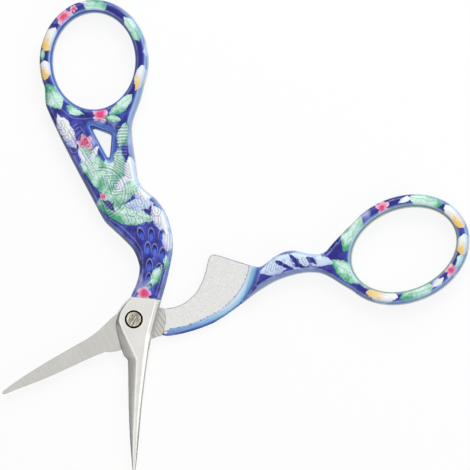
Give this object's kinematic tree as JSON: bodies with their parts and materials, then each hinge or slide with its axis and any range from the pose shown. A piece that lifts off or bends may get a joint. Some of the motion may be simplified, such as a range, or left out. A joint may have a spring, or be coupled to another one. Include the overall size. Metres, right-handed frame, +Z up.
{
  "type": "embroidery scissors",
  "caption": "Small stork-shaped embroidery scissors: two slim steel blades in printed cast handles with oval finger bows, crossed on a slotted pivot screw.",
  "frame": {"origin": "on the pivot axis, in the plane that the scissors lie on", "axes": "+Z up along the pivot axis; -Y along the upper blade from pivot to tip; +X to the right seen from above, on the side of the lower bow"},
  "size_m": [0.1144, 0.1157, 0.0049],
  "materials": {
    "ground_steel": "stainless steel, satin ground",
    "printed_coat": "cast metal with a glossy printed floral coat",
    "screw_steel": "nickel-plated steel, polished"
  },
  "bodies": {
    "lower_half": {"lower_blade": "ground_steel", "lower_handle": "printed_coat", "pivot_screw": "screw_steel"},
    "upper_half": {"upper_blade": "ground_steel", "upper_handle": "printed_coat"}
  },
  "joints": [
    {"name": "blade_pivot", "type": "hinge", "parent": "lower_half", "child": "upper_half", "pos_m": [0, 0, 0], "axis": [0, 0, 1], "range_deg": [-61, 90]}
  ]
}
